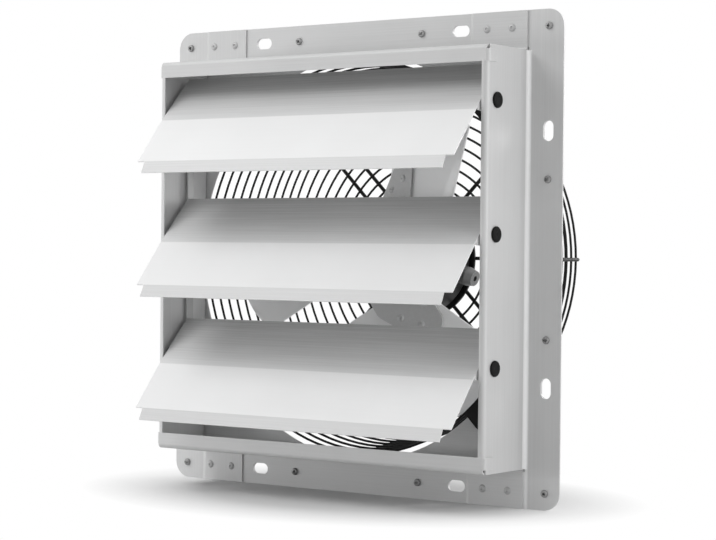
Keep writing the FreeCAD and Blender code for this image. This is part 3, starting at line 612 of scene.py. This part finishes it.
def buildFloor(look):
    bm = bmesh.new()
    bmesh.ops.create_grid(bm, x_segments=1, y_segments=1, size=look["floorHalf"],
                          matrix=Matrix.Translation((0, 0, look["floorZ"] * mm)))
    mesh = bpy.data.meshes.new("floor")
    bm.to_mesh(mesh)
    bm.free()
    floor = bpy.data.objects.new("floor", mesh)
    bpy.context.scene.collection.objects.link(floor)
    material, tree, shader = newMaterial("paleFloor", 0.0)
    shader.inputs["Base Color"].default_value = grey(look["floorTone"])
    shader.inputs["Roughness"].default_value = look["floorRough"]
    shader.inputs["Specular IOR Level"].default_value = 0.0
    glow = addNode(tree, "ShaderNodeEmission")
    away = addNode(tree, "ShaderNodeVectorMath", operation="LENGTH")  # plain white away from the fan
    spread = addNode(tree, "ShaderNodeVectorMath", operation="MULTIPLY")
    spread.inputs[1].default_value = look["spread"]
    tree.links.new(addNode(tree, "ShaderNodeTexCoord").outputs["Object"], spread.inputs[0])
    tree.links.new(spread.outputs["Vector"], away.inputs[0])
    whiter = remap(tree, away.outputs["Value"], look["glowNear"], look["glowFar"], 0.0, 1.0)
    share = addNode(tree, "ShaderNodeMath", operation="MULTIPLY")
    tree.links.new(whiter, share.inputs[1])
    tree.links.new(seenRays(tree), share.inputs[0])
    mix = addNode(tree, "ShaderNodeMixShader")
    tree.links.new(share.outputs["Value"], mix.inputs[0])
    tree.links.new(shader.outputs["BSDF"], mix.inputs[1])
    tree.links.new(glow.outputs["Emission"], mix.inputs[2])
    tree.links.new(mix.outputs["Shader"], tree.nodes["Material Output"].inputs["Surface"])
    mesh.materials.append(material)


def seenRays(tree):  # 1 for camera, glossy and transmission rays
    rays = addNode(tree, "ShaderNodeLightPath")
    both = addNode(tree, "ShaderNodeMath", operation="MAXIMUM")
    tree.links.new(rays.outputs["Is Camera Ray"], both.inputs[0])
    tree.links.new(rays.outputs["Is Glossy Ray"], both.inputs[1])
    every = addNode(tree, "ShaderNodeMath", operation="MAXIMUM")
    tree.links.new(both.outputs["Value"], every.inputs[0])
    tree.links.new(rays.outputs["Is Transmission Ray"], every.inputs[1])
    return every.outputs["Value"]


def buildWorld(look):
    world = bpy.data.worlds.new("paleStudio")
    bpy.context.scene.world = world
    world.use_nodes = True
    tree = world.node_tree
    back = tree.nodes["Background"]
    back.inputs["Color"].default_value = (1.0, 1.0, 1.0, 1.0)
    tree.links.new(remap(tree, seenRays(tree), 0.0, 1.0, look["worldFill"], 1.0), back.inputs["Strength"])


softBoxes = [  # name, place and aim in metres, width and height, watts
    ("key", (-0.65, -0.75, 0.95), (0.0, -0.05, 0.0), (0.7, 0.7), 5.4),
    ("lowLeft", (-1.8, -1.1, -0.08), (0.05, 0.0, 0.0), (1.6, 0.22), 8.0),
    ("overhead", (-0.2, 0.3, 1.6), (0.0, -0.05, 0.0), (1.2, 1.2), 4.0),
    ("rightSide", (1.8, 0.1, 0.45), (0.16, -0.03, 0.0), (1.2, 1.2), 11.5),
    ("backRight", (0.65, 1.75, 0.6), (-0.1, -0.03, 0.05), (0.9, 0.9), 15.0),
]


def buildLight(name, place, aim, size, watts):
    lamp = bpy.data.lights.new(name, "AREA")
    lamp.shape = "RECTANGLE"
    lamp.size, lamp.size_y = size
    lamp.energy = watts
    holder = bpy.data.objects.new(name, lamp)
    holder.location = place
    holder.rotation_euler = (Vector(aim) - Vector(place)).to_track_quat("-Z", "Y").to_euler()
    bpy.context.scene.collection.objects.link(holder)


cameraLook = {"place": (0.98847, -1.37185, 0.00696), "turn": (89.415, -0.558, 35.799),
              "lens": 103.34, "sensor": 36.0}


def buildCamera(look):
    lens = bpy.data.cameras.new("photoCamera")
    lens.sensor_width = look["sensor"]
    lens.lens = look["lens"]
    camera = bpy.data.objects.new("photoCamera", lens)
    camera.location = look["place"]
    camera.rotation_euler = [math.radians(a) for a in look["turn"]]
    bpy.context.scene.collection.objects.link(camera)
    bpy.context.scene.camera = camera


buildFloor(stageLook)
buildWorld(stageLook)
for box in softBoxes:
    buildLight(*box)
buildCamera(cameraLook)
bpy.context.scene.view_settings.view_transform = "Standard"
print("floor, light and camera placed")
